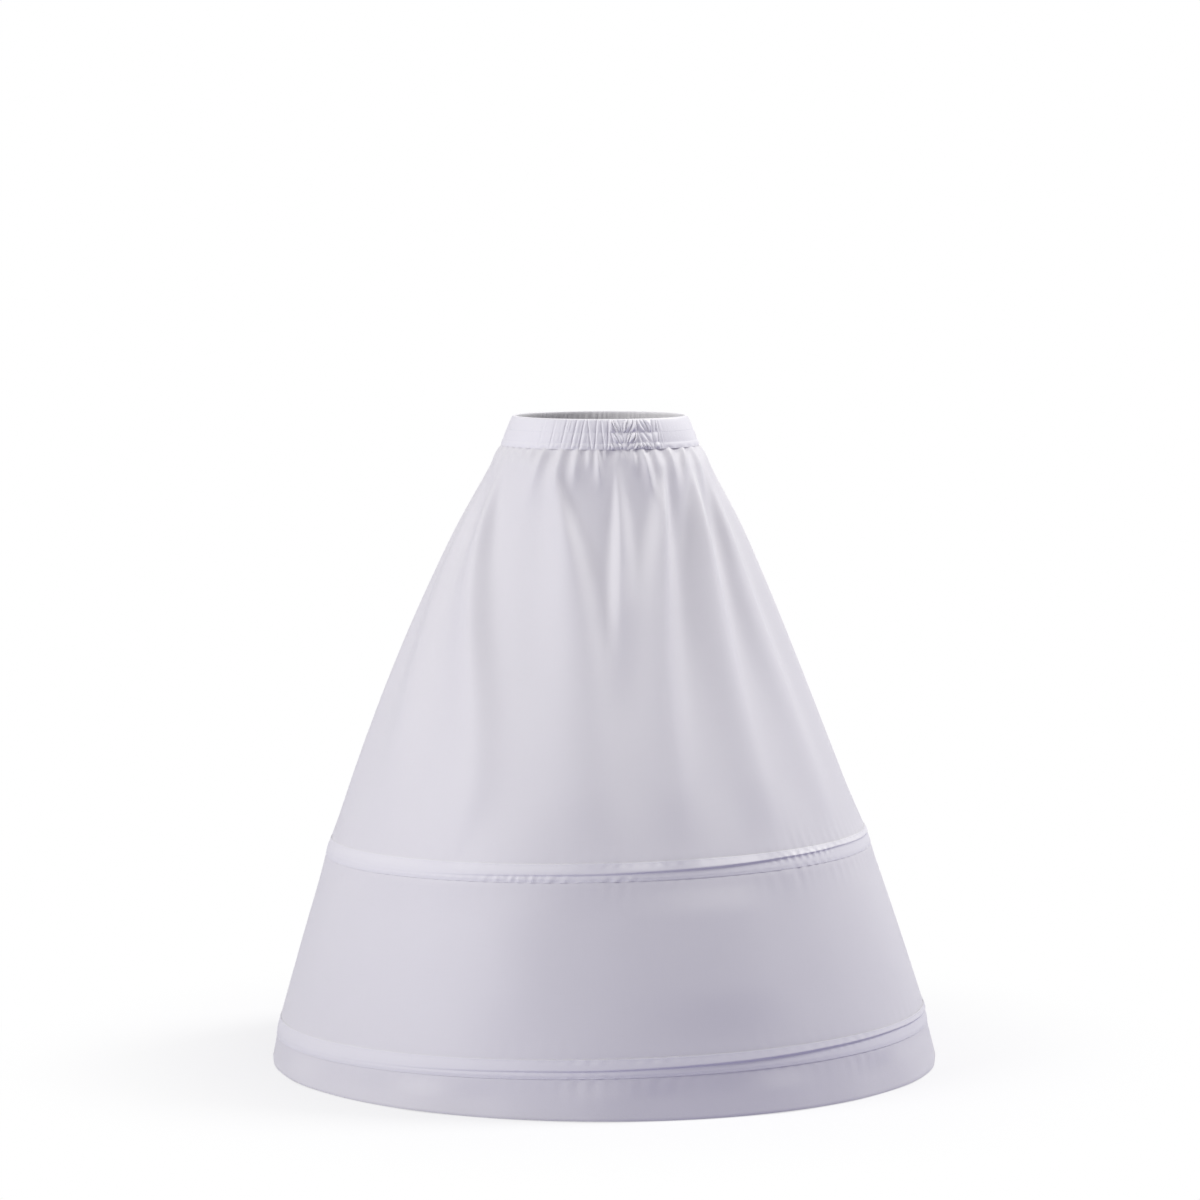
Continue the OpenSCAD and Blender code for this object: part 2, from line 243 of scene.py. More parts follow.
# Gathers of the front: degrees of the crest from the front at the waist and where it ends, width
# of each flank in degrees, height as a share, and its end as a share of the free height
FRONT_GATHERS = (
    (-83, -80, 3.5, 0.7, 0.11),
    (-74, -72, 3.2, 0.8, 0.13),
    (-65, -62, 3.0, 0.7, 0.10),
    (-57, -55, 2.6, 0.6, 0.09),
    (-50, -47, 2.4, 0.6, 0.09),
    (-42, -41, 2.6, 0.7, 0.10),
    (-33.5, -37, 3.2, 0.9, 0.19),
    (-22, -22, 2.6, 1.0, 0.15),
    (-12.8, -13, 2.2, 0.9, 0.14),
    (-6, -5, 1.5, 0.7, 0.07),
    (-1.2, 1, 1.3, 1.0, 0.13),
    (3, 3, 1.1, 0.5, 0.05),
    (10.5, 10, 1.3, 0.5, 0.05),
    (14.3, 14, 1.3, 0.55, 0.05),
    (18.8, 18.5, 1.5, 0.75, 0.08),
    (24.8, 27, 2.0, 1.1, 0.24),
    (33, 31, 2.3, 0.6, 0.09),
    (43, 38, 2.6, 1.0, 0.20),
    (56, 40, 1.9, 0.9, 0.15),
    (67, 55, 2.6, 0.9, 0.20),
    (77, 70, 2.8, 0.8, 0.14),
    (86, 82, 3.2, 0.7, 0.11),
)
# Broad folds: degrees of the crest from the front at 0, 0.3, 0.6 and 1 of the free height, width of
# the left and the right flank in degrees, height as a share, and the share where it has died away
FOLDS = (
    ((-90, -88, -86, -85), 8, 8, 0.7, 1),
    ((-82, -74, -62, -58), 8, 7, 0.6, 1),
    ((-64, -51, -35.5, -35), 10, 6, 0.9, 1),
    ((-28, -8.5, -2.5, 1), 11, 6, 0.95, 1),
    ((9, 8.5, 6.5, 5), 3.5, 6, 0.7, 0.66),
    ((38, 23, 18.5, 17.5), 7, 5, 1.15, 1),
    ((60, 44, 39.5, 40), 7, 5, 1.15, 1),
    ((76, 62, 60, 60), 7, 6, 0.9, 1),
    ((92, 82, 79, 78), 8, 8, 0.8, 1),
    ((110, 106, 103, 102), 7, 6, 0.85, 1),
    ((128, 129, 126, 124), 6, 8, 0.95, 1),
    ((148, 146, 147, 146), 8, 6, 0.8, 1),
    ((166, 169, 168, 166), 7, 7, 1, 1),
    ((186, 184, 187, 188), 6, 8, 0.85, 1),
    ((205, 208, 206, 207), 8, 6, 0.95, 1),
    ((224, 222, 225, 227), 7, 7, 0.8, 1),
    ((246, 247, 248, 249), 8, 7, 0.9, 1),
)
PATH_STOPS = (0, 0.3, 0.6, 1)


def wrapped(degrees):
    return (degrees + 180) % 360 - 180


def from_front(angle):
    """Degrees to the right of the front, from -180 to 180."""
    return wrapped(np.degrees(angle - FRONT))


# Tape over a hoop at degrees from the front: millimetres from the cloth to its outer face at its
# upper edge, above the fold and at its lower edge, and the share of its width where the fold lies
TAPE_SECTIONS = np.array((
    (-180, 2.6, 4.4, 2.2, 0.62),
    (-105, 2.4, 3.4, 2.4, 0.78),
    (-60, 1.9, 3.25, 2.5, 0.80),
    (-36, 1.9, 3.3, 2.4, 0.74),
    (-14, 2.6, 4.0, 2.2, 0.67),
    (0, 3.2, 4.4, 2.3, 0.67),
    (25, 3.2, 5.2, 2.5, 0.57),
    (42, 2.6, 5.5, 2.5, 0.44),
    (61, 2.2, 5.3, 2.5, 0.36),
    (80, 2.3, 4.9, 2.4, 0.38),
    (105, 2.6, 4.4, 2.2, 0.52),
    (180, 2.6, 4.4, 2.2, 0.62),
))
# From the cloth's outer face to the tape's
TAPE_STAND = 0.0007
# Height of the tape's outer face on the boning, and the shares of its width where it has risen at
# least to the boning and where it leaves it
TAPE_ON_BONING = 0.00305
BONING_START = 0.42
BONING_END = 0.8
# More height over the sleeve at the middle of the back
SLEEVE_RISE = 0.0008
# The lower tape's upper edge stands higher by this share of the rise to the fold
LOWER_TOP = 0.75
# Angle by which the lower tape's ripples are turned from those of the upper one
LOWER_TURN = 0.9
# Distances out are level on the upper skirt and square to the cloth on a tape
LEVEL_TO_SQUARE = 0.93
SQUARE_TO_LEVEL = 1.07
# Rows of faces across a tape, above its fold and on its fold
TAPE_ROWS = 22
ROWS_ABOVE = 9
ROWS_ON_FOLD = 5


def tape_section(angle, lower=False):
    """Heights of a tape at its upper edge, fold and lower edge, and the place of its fold."""
    degrees = from_front(angle)
    top, low, lip, fold = (
        np.interp(degrees, TAPE_SECTIONS[:, 0], TAPE_SECTIONS[:, k]) for k in (1, 2, 3, 4))
    if lower:
        top = top + LOWER_TOP * (low - top)
    return top / 1000, low / 1000, lip / 1000, fold


def flare_above(angle, above, lower=False):
    """How far the cloth is pushed out by a tape, at this height above the tape's upper edge."""
    push = tape_section(angle, lower)[0] - TAPE_STAND
    reach = 0.1 if lower else 0.03
    under_tape = 1 - eased((-above - 0.0025) / 0.0065)
    return push * np.where(above > 0, np.exp(-np.maximum(above, 0) / reach), under_tape)


def flare_below(angle, below):
    """How far the cloth is pushed out by a tape, at this height below the tape's lower edge."""
    push = tape_section(angle)[2] - TAPE_STAND
    reach = 0.025
    under_tape = 1 - eased((-below - 0.003) / 0.0025)
    return push * np.where(below > 0, np.exp(-np.maximum(below, 0) / reach), under_tape)


def tape_rows(angle, part, sizes):
    """Distances of a grid's rows from the tape's upper edge, closest together on the fold."""
    last = tape_section(angle)[3] * sizes.casing_w
    first = last - sizes.fold_drop_w
    above, below = ROWS_ABOVE / TAPE_ROWS, (ROWS_ABOVE + ROWS_ON_FOLD) / TAPE_ROWS
    return np.where(part < above, first * part / above, np.where(
        part < below, first + (last - first) * (part - above) / (below - above),
        last + (sizes.casing_w - last) * (part - below) / (1 - below)))


def tape_out(angle, along, sizes, folds, lower):
    """A tape's outer face over the cloth: a rise over the hoop, a sharp fold and a flat lip."""
    top, low, lip, fold = tape_section(angle, lower)
    top = top + LEVEL_TO_SQUARE * folds
    across = (along + sizes.casing_lift) / sizes.casing_w + 0.5
    on_boning = eased((1 - across) / (1 - BONING_END))
    height = top + (low - top) * np.clip(across / np.minimum(fold, BONING_START), 0, 1)
    rest = lip + (TAPE_ON_BONING - lip) * on_boning
    sleeve = SLEEVE_RISE * np.exp(-(wrapped(from_front(angle) - 180) / 6) ** 4)
    height = height + sleeve * eased(across / 0.3)
    rest = rest + sleeve * on_boning
    return rest + (height - rest) * eased((fold - across) * sizes.casing_w / sizes.fold_drop_w)


def tape_ease(angle, along, sizes, drape, lower):
    """Ripples along a tape's edges, close puckers right of the front and creases left of it."""
    across = along + sizes.casing_w / 2 + sizes.casing_lift
    middle = across - sizes.casing_w / 2
    past_fold = across - tape_section(angle)[3] * sizes.casing_w
    degrees = from_front(angle)
    turn = LOWER_TURN if lower else 0.0
    # The upper tape is puckered more
    much = 0.2 if lower else 1
    head = drape.tape_puckers(angle + turn, 0 * angle)
    foot = drape.tape_puckers(angle + turn + 1.7, 0 * angle)
    edge = eased((np.abs(middle) - 0.005) / 0.006)
    ripple = np.where(middle < 0, head, foot) * edge * (0.2 + 0.3 * much)
    # The left part lies smooth
    ripple = ripple * np.interp(degrees, (-110, -100, -40, -28), (1, 0.25, 0.25, 1))
    close = np.sin(172 * angle) * np.exp(-((degrees - 48) / 9) ** 4)
    close *= np.exp(-(past_fold / 0.003) ** 2)
    crease = np.sin(130 * angle + 5 * np.sin(17 * angle)) * np.sin(41 * angle)
    crease *= np.exp(-((degrees + 13) / 13) ** 4) * np.exp(-((across - 0.0205) / 0.004) ** 2)
    return np.maximum(ripple + much * (0.0013 * close + 0.0008 * crease), -0.0004)


def tape_face(angle, along, sizes, drape, lower):
    """Height of a tape's outer face over the cloth, with its ripples."""
    folds = 0 * angle if lower else drape.at_tape(angle)
    ripples = tape_ease(angle, along, sizes, drape, lower)
    return tape_out(angle, along, sizes, folds, lower) + ripples


class Drape:
    """How far the cloth of the upper skirt stands out from its plain side."""

    def __init__(self, folds):
        self.folds = folds
        rng = np.random.default_rng(folds.seed)
        self.gathers_at = list(FRONT_GATHERS)
        # Those of the back, from one side seam to the other
        at, last = 94.0, 266
        while at < last:
            self.gathers_at.append((
                at, at + rng.uniform(-3, 3), rng.uniform(1.6, 3.2),
                rng.uniform(0.6, 1.0), rng.uniform(0.07, 0.18)))
            at += rng.uniform(6.0, 10.5)
        self.ripples = [(int(rng.integers(70, 150)), rng.uniform(0, math.tau)) for _ in range(7)]

    def gathers(self, degrees, v):
        """Narrow ridges that start at the waist seam and soon die away."""
        total = np.zeros_like(v)
        rise = 0.25 + 0.75 * (1 - np.exp(-v / 0.008))
        for top, low, flank, height, end in self.gathers_at:
            near = v < end
            away = wrapped(degrees[near] - top - (low - top) * v[near] / end)
            width = flank * (1 + 1.2 * v[near] / end)
            fade = (1 - eased(v[near] / end)) ** 1.2
            total[near] += height * fade * np.exp(-np.abs(away / width) ** 1.7)
        mean = 0.34 * np.exp(-v / 0.07) * (1 - eased(v))
        return self.folds.gather_depth * (total - mean) * rise

    def broad_folds(self, degrees, v):
        """Wide ridges from under the gathers to the tape, which pulls them flat."""
        total = np.zeros_like(v)
        start = eased(v / 0.24)
        lessening = 1 - 0.6 * eased((v - 0.35) / 0.6)
        held = eased((v - 0.82) / 0.18)
        spread = 0.45 + 0.55 * eased(v / 0.4)
        for path, left, right, height, end in FOLDS:
            crest = np.polyval(np.polyfit(PATH_STOPS, path, 3), v)
            away = wrapped(degrees - crest)
            flank = np.where(away < 0, left, right) * spread
            last = 1 - eased((v - 0.5 * end) / (0.5 * end)) if end < 1 else 1
            total += height * last * np.exp(-(away / flank) ** 2)
        depth = self.folds.fold_depth * (total - 0.45) * start * lessening
        return np.maximum(depth, 0) * (1 - 0.65 * held) + np.minimum(depth, 0) * (1 - held)

    def tape_puckers(self, angle, above):
        """Small ripples by a sewn tape, at this height away from its edge."""
        wave = sum(np.sin(count * angle + start) for count, start in self.ripples) / 3
        drift = 0.55 + 0.45 * np.sin(5 * angle + 1.3) * np.sin(3 * angle + 0.4)
        return self.folds.pucker_depth * wave * drift * np.exp(-np.maximum(above, 0) / 0.013)

    def at_tape(self, angle):
        """What is left of the folds at the upper edge of the upper tape."""
        return self.broad_folds(np.degrees(angle - FRONT), np.ones_like(angle))

    def out(self, angle, drop, form):
        v = form.free_share(drop)
        degrees = np.degrees(angle - FRONT)
        seat = SEAM_SEAT * (1 - eased(v / SEAM_BLEND))
        above = form.free_end + CASING_MARGIN - drop
        held = eased(above / 0.010)
        free = above - form.sizes.casing_lift
        return (
            seat + self.gathers(degrees, v)
            + self.broad_folds(degrees, v) * (1 - eased(-free / 0.009))
            + self.tape_puckers(angle, above) * held * eased(v / 0.5)
            + flare_above(angle, free) * SQUARE_TO_LEVEL
        )


# Long creases of the waistband: degrees from the front at half its height, degrees by which the
# crease leans to the left from its top to its foot, and depth as a share
BAND_CREASES = (
    (-46, 0.5, 0.25),
    (-38, 0.8, 0.3),
    (-30, 0.5, 0.45),
    (-22.5, 1.5, 0.6),
    (-16, 2.2, 1.0),
    (-11, 2.2, 1.0),
    (-6.5, -3.0, 0.9),
    (-2.5, 1.0, 0.9),
    (1.5, -2.0, 0.8),
    (5, 1.5, 0.7),
)
CREASE_DEPTH = 0.0013
# How far the band is plumped out between its rows of stitching, and at its lower edge
PLUMP = 0.0009
EDGE_PLUMP = 0.0005
# Puckers round the waist in each channel
PUCKERS = 140


class Ruching:
    """How far the cloth of the waistband stands out between its rows of stitching."""

    def __init__(self, sizes, folds):
        self.sizes, self.folds = sizes, folds
        # Drops of the fold, of the two rows of stitching and of the lower edge
        self.rows = (0.0006, sizes.stitch_drop, sizes.edge_stitch_drop, sizes.waistband_h - 0.0008)
        rng = np.random.default_rng(folds.seed + 1)
        self.cells = []
        for _ in range(len(self.rows) - 1):
            edges = np.concatenate([[0], np.cumsum(rng.uniform(0.3, 1.7, PUCKERS))])
            self.cells.append((edges / edges[-1] * math.tau, rng.uniform(0.3, 1.0, PUCKERS)))

    @staticmethod
    def lobe(drop, top, bottom):
        return np.clip(1 - ((2 * drop - top - bottom) / (bottom - top)) ** 2, 0, 1) ** 0.7

    def puckers(self, channel, angle):
        """Round puckers of uneven width with sharp valleys between them."""
        edges, heights = self.cells[channel]
        angle = angle % math.tau
        index = np.clip(np.searchsorted(edges, angle, side="right") - 1, 0, len(heights) - 1)
        t = (angle - edges[index]) / (edges[index + 1] - edges[index])
        return heights[index] * 4 * t * (1 - t) - 0.25

    def creases(self, degrees, drop):
        """Narrow valleys that run across the stitching, each with a lip on its right."""
        total = np.zeros_like(drop)
        for middle, leftward, depth in BAND_CREASES:
            away = degrees - middle - leftward * (0.5 - drop / self.sizes.waistband_h)
            lip, valley = np.exp(-((away - 1.6) / 1.1) ** 2), np.exp(-(away / 0.55) ** 2)
            total += depth * (0.22 * lip - valley)
        return total * eased(drop / 0.004) * eased((self.sizes.waistband_h - drop) / 0.004)

    def out(self, angle, drop):
        degrees = from_front(angle)
        crumpled = np.exp(-((degrees - 21.5) / 16.5) ** 6)
        creased = np.exp(-((degrees + 10) / 22) ** 4)
        behind = eased((np.abs(degrees) - 80) / 30)
        drawn = np.maximum(np.maximum(crumpled, 0.6 * creased), 0.7 * behind)
        only_creased = creased * (1 - crumpled)
        depth = self.folds.ruche_depth * (0.05 + 3.2 * crumpled + 0.3 * only_creased + 0.6 * behind)
        slant = only_creased + 4.5 * crumpled * np.sin(19 * angle)
        top, _, edge, foot = self.rows
        total = PLUMP * (1 - drawn) * self.lobe(drop, top, edge)
        for channel, (above, below) in enumerate(zip(self.rows, self.rows[1:])):
            swell = self.lobe(drop, above, below)
            turned = angle + slant * (drop - (above + below) / 2)
            total += swell * depth * self.puckers(channel, turned)
            total += swell * (EDGE_PLUMP if below == foot else PLUMP * drawn)
        return total + CREASE_DEPTH * self.creases(degrees, drop)


# Making of meshes

def only(obj):
    bpy.ops.object.select_all(action="DESELECT")
    obj.select_set(True)
    bpy.context.view_layer.objects.active = obj


def cloth_grid(name, columns, rows):
    """Flat cloth of a grid of faces, with each vertex's place across and up it, from 0 to 1."""
    bpy.ops.object.select_all(action="DESELECT")
    bpy.ops.mesh.primitive_grid_add(
        x_subdivisions=columns, y_subdivisions=rows, size=2, calc_uvs=True)
    obj = bpy.context.object
    obj.name = name
    obj.data.name = name
    flat = np.empty(3 * len(obj.data.vertices))
    obj.data.vertices.foreach_get("co", flat)
    flat = flat.reshape(-1, 3) / 2 + 0.5
    return obj, flat[:, 0], flat[:, 1]


def hang(obj, points, u, v):
    """Moves the flat cloth's vertices to their places and lays its UV map out in metres."""
    mesh = obj.data
    mesh.vertices.foreach_set("co", np.ascontiguousarray(points, dtype=np.float64).ravel())
    corner = np.empty(len(mesh.loops), dtype=np.int32)
    mesh.loops.foreach_get("vertex_index", corner)
    mesh.uv_layers.active.data.foreach_set("uv", np.stack([u[corner], v[corner]], axis=1).ravel())
    mesh.update()


def edit(obj, tool, **values):
    """Uses an edit-mode tool on the whole of a mesh."""
    only(obj)
    bpy.ops.object.mode_set(mode="EDIT")
    bpy.ops.mesh.select_all(action="SELECT")
    tool(**values)
    bpy.ops.object.mode_set(mode="OBJECT")


def close_ring(obj):
    """Sews the two ends of a ring together."""
    edit(obj, bpy.ops.mesh.remove_doubles, threshold=1e-6)


def thicken(obj, thickness, material, crease=70):
    """Gives a sheet thickness, inwards, and a finish; edges over the crease angle stay sharp."""
    only(obj)
    solidify = obj.modifiers.new("Thickness", "SOLIDIFY")
    solidify.thickness = thickness
    solidify.offset = -1
    bpy.ops.object.modifier_apply(modifier=solidify.name)
    bpy.ops.object.shade_smooth_by_angle(angle=math.radians(crease))
    obj.data.materials.clear()
    obj.data.materials.append(material)


def sew_rows(name, rows, size, material):
    """Rows of stitches as one piece; each row gives the places, the run and the way out."""
    bpy.ops.object.select_all(action="DESELECT")
    bpy.ops.mesh.primitive_uv_sphere_add(segments=5, ring_count=3, radius=1)
    bead = bpy.context.object
    shape = np.array([v.co[:] for v in bead.data.vertices])
    faces = [tuple(p.vertices) for p in bead.data.polygons]
    places = np.concatenate([row[0] for row in rows])
    run = np.concatenate([row[1] for row in rows])
    out = np.concatenate([row[2] for row in rows])
    run /= np.linalg.norm(run, axis=1)[:, None]
    out -= run * (run * out).sum(axis=1)[:, None]
    out /= np.linalg.norm(out, axis=1)[:, None]
    side = np.cross(out, run)
    half = np.array(size) / 2
    points = (
        places[:, None, :]
        + run[:, None, :] * (shape[None, :, 2:3] * half[0])
        + side[:, None, :] * (shape[None, :, 0:1] * half[1])
        + out[:, None, :] * (shape[None, :, 1:2] * half[2])
    )
    count = len(shape)
    mesh = bpy.data.meshes.new(name)
    mesh.from_pydata(
        points.reshape(-1, 3).tolist(), [],
        [tuple(i * count + k for k in face) for i in range(len(places)) for face in faces])
    obj = bpy.data.objects.new(name, mesh)
    bpy.context.collection.objects.link(obj)
    bpy.data.objects.remove(bead, do_unlink=True)
    edit(obj, bpy.ops.mesh.normals_make_consistent, inside=False)
    bpy.ops.object.shade_smooth()
    mesh.materials.append(material)
    return obj


def stitch_row(point_at, perimeter, pitch):
    """Stitch places along a closed row, given its points at an angle and a distance out."""
    count = int(perimeter / pitch)
    angle = np.arange(count) * math.tau / count
    small = 1e-4
    places = point_at(angle, 0)
    run = point_at(angle + small, 0) - point_at(angle - small, 0)
    out = point_at(angle, 0.001) - places
    return places, run, out


# Finishes

def feed(tree, target, inputs):
    """Links sockets to a node's inputs and sets its other inputs."""
    for key, value in inputs.items():
        if isinstance(value, bpy.types.NodeSocket):
            tree.links.new(value, target.inputs[key])
        else:
            target.inputs[key].default_value = value


def node(tree, kind, inputs=None, **values):
    made = tree.nodes.new(kind)
    for key, value in values.items():
        setattr(made, key, value)
    feed(tree, made, inputs or {})
    return made


def calc(tree, operation, *values):
    return node(tree, "ShaderNodeMath", dict(enumerate(values)), operation=operation).outputs[0]


def noise(tree, place, scale, detail):
    inputs = {"Vector": place, "Scale": scale, "Detail": detail}
    return node(tree, "ShaderNodeTexNoise", inputs).outputs[0]


def weave_group():
    """Crossing threads, uneven in height, tone and gloss."""
    tree = bpy.data.node_groups.get("plain_weave")
    if tree:
        return tree
    tree = bpy.data.node_groups.new("plain_weave", "ShaderNodeTree")
    for name, kind in (("Vector", "Vector"), ("Pitch", "Float"), ("Gloss", "Float")):
        tree.interface.new_socket(name, in_out="INPUT", socket_type=f"NodeSocket{kind}")
    for name in ("Height", "Tone", "Roughness"):
        tree.interface.new_socket(name, in_out="OUTPUT", socket_type="NodeSocketFloat")
    do = partial(calc, tree)
    given = node(tree, "NodeGroupInput").outputs
    across = node(tree, "ShaderNodeSeparateXYZ", {0: given["Vector"]}).outputs
    turns = do("DIVIDE", math.pi, given["Pitch"])
    warp = do("SINE", do("MULTIPLY", across[0], turns))
    weft = do("SINE", do("MULTIPLY", across[1], turns))
    over = do("MULTIPLY_ADD", do("MULTIPLY", warp, weft), 0.5, 0.5)
    slubs = []
    for stretch in ((1600, 25, 1), (25, 1600, 1)):
        drawn = node(tree, "ShaderNodeMapping", {"Vector": given["Vector"], "Scale": stretch})
        slubs.append(noise(tree, drawn.outputs[0], 1.0, 2.0))
    slub = do("MULTIPLY", do("ADD", *slubs), 0.5)
    height = do("ADD", do("MULTIPLY", over, 0.7), do("MULTIPLY", slub, 0.6))
    cloud = noise(tree, given["Vector"], 14.0, 3.0)
    tone = do("ADD", do("MULTIPLY", slub, 0.06), do("MULTIPLY", over, 0.03))
    tone = do("ADD", tone, do("MULTIPLY", cloud, 0.02))
    tone = do("ADD", tone, 0.945)
    uneven = do("MULTIPLY", do("SUBTRACT", slub, 0.5), 0.25)
    rough = do("ADD", given["Gloss"], uneven)
    node(tree, "NodeGroupOutput", {"Height": height, "Tone": tone, "Roughness": rough})
    return tree


def cloth_finish(name, colour, pitch, roughness, relief, coordinates="UV", sheen=0.25):
    """Woven cloth or tape with its own thread size."""
    material = bpy.data.materials.new(name)
    material.use_nodes = True
    tree = material.node_tree
    place = node(tree, "ShaderNodeTexCoord").outputs[coordinates]
    weave = node(
        tree, "ShaderNodeGroup", {"Vector": place, "Pitch": pitch, "Gloss": roughness},
        node_tree=weave_group()).outputs
    mixed = node(
        tree, "ShaderNodeVectorMath", {0: tuple(colour), "Scale": weave["Tone"]}, operation="SCALE")
    bump = node(
        tree, "ShaderNodeBump", {"Height": weave["Height"], "Distance": relief, "Strength": 0.6})
    feed(tree, tree.nodes["Principled BSDF"], {
        "Base Color": mixed.outputs[0],
        "Roughness": weave["Roughness"],
        "Normal": bump.outputs[0],
        "Sheen Weight": sheen,
        "Sheen Roughness": 0.45,
    })
    return material


def finish_for(name):
    """The finish of this name, made at its first use."""
    made = bpy.data.materials.get(name)
    if made:
        return made
    look = bpy.context.scene.petticoat_look
    # Colour, distance between threads, roughness, relief, coordinates and sheen
    finishes = {
        "taffeta": (look.cloth, look.weave_pitch, 0.50, 0.00008),
        "waistband cloth": (look.band, look.weave_pitch, 0.50, 0.00008),
        "casing tape": (look.tape, look.tape_pitch, 0.55, 0.00012),
        "thread": (look.thread, 0.0003, 0.5, 0.00005, "Object"),
        "waist elastic": (look.elastic, 0.0012, 0.7, 0.0003, "Object"),
        "hoop boning": (look.boning, 0.004, 0.35, 0.00003, "Object", 0),
        "joining sleeve": (look.joiner, 0.003, 0.3, 0.00002, "Object", 0),
    }
    return cloth_finish(name, *finishes[name])


def done(obj, slot, *nodes):
    """Hangs a piece on the frame in place of the solids that it stands for."""
    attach(obj, "root")
    if nodes:
        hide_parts(*nodes)


# Pieces

def settings():
    scene = bpy.context.scene
    form = SkirtForm(scene.petticoat_sizes)
    return scene.petticoat_sizes, scene.petticoat_folds, form


def hang_panel(panel, points, shift, u, v):
    """Hangs a panel of the skirt on its side of the seams, in the skirt's cloth."""
    points[:, 1] += shift * SEAM_GAP / 2
    hang(panel, points, u, v)
    thicken(panel, bpy.context.scene.petticoat_sizes.cloth_t, finish_for("taffeta"))


class PETTICOAT_OT_waistband(bpy.types.Operator):
    """Strip folded double over two elastics and ruched by them"""

    bl_idname = "petticoat.waistband"
    bl_label = "Waistband"

    def execute(self, context):
        sizes, folds, form = settings()
        ruching = Ruching(sizes, folds)
        band, s, t = cloth_grid("waistband_cloth", columns=960, rows=48)
        angle = self.spread(s)
        h, thick = sizes.waistband_h, sizes.waistband_t
        # From the outer lower edge over the fold to the inner lower edge, most rows outside
        leaf, bend = h - thick / 2, math.pi * thick / 2
        run = np.interp(t, (0, 0.68, 0.8, 1), (0, leaf, leaf + bend, 2 * leaf + bend))
        turn = np.clip((run - leaf) / (thick / 2), 0, math.pi)
        outer = run < leaf
        inner = run > leaf + bend
        drop = np.where(outer, h - run, np.where(
            inner, run - leaf - bend + thick / 2, thick / 2 * (1 - np.sin(turn))))
        out = np.where(outer, 0, np.where(inner, -thick, thick / 2 * (np.cos(turn) - 1)))
        face = np.where(outer, 1.0, np.where(inner, -1.0, np.cos(turn)))
        on_seam = eased((drop - (h - SEAM_TURN)) / SEAM_TURN)
        wavy = 0.0004 * np.sin(42 * angle + 1.5 * np.sin(5 * angle)) - 0.0003
        puff = ruching.out(angle, drop) + on_seam * wavy
        fullness = 1.35
        around = angle * (form.band_half_w(h / 2) * OVAL_GIRTH) * fullness
        hang(band, form.band_point(angle, drop, out + puff * face), around, run)
        close_ring(band)
        thicken(band, sizes.band_cloth_t, finish_for("waistband cloth"))
        done(band, "skirt_cloth", "waistband")
        return {"FINISHED"}

    @staticmethod
    def spread(s):
        """Angles of the columns, closest together where the front is ruched."""
        angle = np.linspace(0, math.tau, 1441)
        close = 1 + 1.6 * np.exp(-(wrapped(from_front(angle) - 8) / 40) ** 4)
        reached = np.concatenate([[0], np.cumsum((close[1:] + close[:-1]) / 2)])
        return np.interp(s, reached / reached[-1], angle)


class PETTICOAT_OT_upper_skirt(bpy.types.Operator):
    """Gathered cloth between the waistband and the upper hoop, in a front and a back panel"""

    bl_idname = "petticoat.upper_skirt"
    bl_label = "Upper skirt"

    def execute(self, context):
        sizes, folds, form = settings()
        drape = Drape(folds)
        top, bottom = sizes.waistband_h - SEAM_TURN, sizes.upper_hoop_drop - SEAM_GAP / 2
        width, slant = 1.2, math.radians(24)
        for name, first, shift in PANELS:
            panel, s, t = cloth_grid(f"upper_skirt_{name}_cloth", columns=280, rows=124)
            angle = first + math.pi * s
            drop = top + (bottom - top) * (1 - t) ** 1.35
            points = form.upper_point(angle, drop, drape.out(angle, drop, form))
            hang_panel(panel, points, shift, width * s, -drop / math.cos(slant))
            done(panel, "skirt_cloth", f"upper_skirt_{name}")
        return {"FINISHED"}


class PETTICOAT_OT_lower_skirt(bpy.types.Operator):
    """Smooth cloth between the two hoops, in a front and a back panel"""

    bl_idname = "petticoat.lower_skirt"
    bl_label = "Lower skirt"

    def execute(self, context):
        sizes, folds, form = settings()
        drape = Drape(folds)
        top = sizes.upper_hoop_drop + SEAM_GAP / 2
        bottom = sizes.lower_hoop_drop - SEAM_GAP / 2
        width, slant = 1.35, math.radians(17)
        for name, first, shift in PANELS:
            panel, s, t = cloth_grid(f"lower_skirt_{name}_cloth", columns=240, rows=42)
            angle = first + math.pi * s
            drop = bottom + (top - bottom) * t
            points = form.tier_point(angle, drop, self.slack(angle, drop, sizes, drape))
            hang_panel(panel, points, shift, width * s, -drop / math.cos(slant))
            done(panel, "skirt_cloth", f"lower_skirt_{name}")
        return {"FINISHED"}

    @staticmethod
    def slack(angle, drop, sizes, drape):
        """Slight ease of the cloth between the hoops, with puckers by the two tapes."""
        half = sizes.casing_w / 2
        below = drop - sizes.upper_hoop_drop - half + sizes.casing_lift
        above = sizes.lower_hoop_drop - half - sizes.casing_lift - drop
        degrees = from_front(angle)
        soft = 0.0008 * np.sin(9 * angle + 0.8 * np.sin(4 * angle))
        soft += 0.0003 * np.sin(17 * angle + 2)
        # One soft fold right of the front, narrower on its right
        away = degrees - 28
        fold = 0.0036 * np.exp(-(away / np.where(away < 0, 16, 8)) ** 2)
        puckers = drape.tape_puckers(angle, below) * eased(below / 0.006)
        close = np.sin(96 * angle + 2 * np.sin(19 * angle)) * np.exp(-((degrees - 44) / 13) ** 4)
        puckers += 0.0010 * close * np.exp(-np.maximum(below, 0) / 0.016) * eased(below / 0.006)
        puckers += 0.6 * drape.tape_puckers(angle + 0.37, above) * eased(above / 0.006)
        return (
            (soft + fold) * eased(below / 0.05) * eased(above / 0.09) + puckers
            + flare_below(angle, below) + flare_above(angle, above, lower=True)
        )


